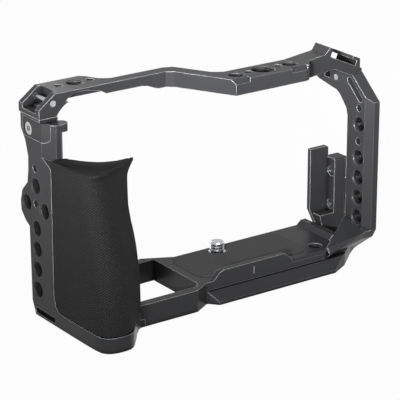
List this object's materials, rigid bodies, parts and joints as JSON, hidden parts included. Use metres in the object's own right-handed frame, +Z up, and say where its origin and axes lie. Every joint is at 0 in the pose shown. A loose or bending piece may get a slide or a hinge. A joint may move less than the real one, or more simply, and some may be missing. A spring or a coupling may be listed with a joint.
{
  "type": "camera cage",
  "caption": "Black machined cage that wraps a mirrorless camera, with a soft front grip, tilted accessory shoe, threaded holes and a quick-release dovetail base",
  "frame": {"origin": "on the camera screw's axis, on the plane that the base rests on", "axes": "+X to the port side (the camera's left hand side), +Y to the camera's back, +Z up"},
  "size_m": [0.157, 0.0626, 0.0984],
  "materials": {
    "anodised": "fine blasted, black anodised",
    "dark": "black anodised, satin",
    "rubber": "matte, fine dotted texture",
    "steel": "plain steel",
    "black_steel": "blackened steel"
  },
  "bodies": {
    "frame": {"base_plate": "anodised", "right_arm": "anodised", "top_bar": "anodised", "left_plate": "anodised", "grip_core": "dark", "grip_sleeve": "rubber", "base_pad": "rubber", "strap_pin": "steel", "dowel_pin": "steel", "port_bracket": "anodised", "bracket_screws": "steel", "right_base_screws": "black_steel", "left_base_screw": "black_steel", "rail_screw": "black_steel", "foot_screws": "black_steel", "top_left_screws": "black_steel", "magnets": "steel"},
    "mounting_screw": {"camera_screw": "steel", "screw_clip": "steel"},
    "key": {"slot_key": "steel"},
    "lug_lock": {"lug_block": "dark"},
    "lug_bolt": {"lug_screw": "steel"}
  },
  "joints": [
    {"name": "camera_screw_spin", "type": "hinge", "parent": "frame", "child": "mounting_screw", "pos_m": [0, 0, 0], "axis": [0, 0, 1], "continuous": true},
    {"name": "slot_key_slide", "type": "slide", "parent": "frame", "child": "key", "axis": [0, 1, 0], "range_m": [0, 0.024]},
    {"name": "lug_block_slide", "type": "slide", "parent": "frame", "child": "lug_lock", "axis": [-1, 0, 0], "range_m": [0, 0.0012]},
    {"name": "lug_screw_turn", "type": "hinge", "parent": "lug_lock", "child": "lug_bolt", "pos_m": [-0.0866, 0.0069, 0.0806], "axis": [-1, 0, 0], "range_deg": [0, 965]}
  ],
  "couplings": [
    {"joint": "lug_screw_turn", "follows": "lug_block_slide", "rad_per_m": 13963}
  ]
}
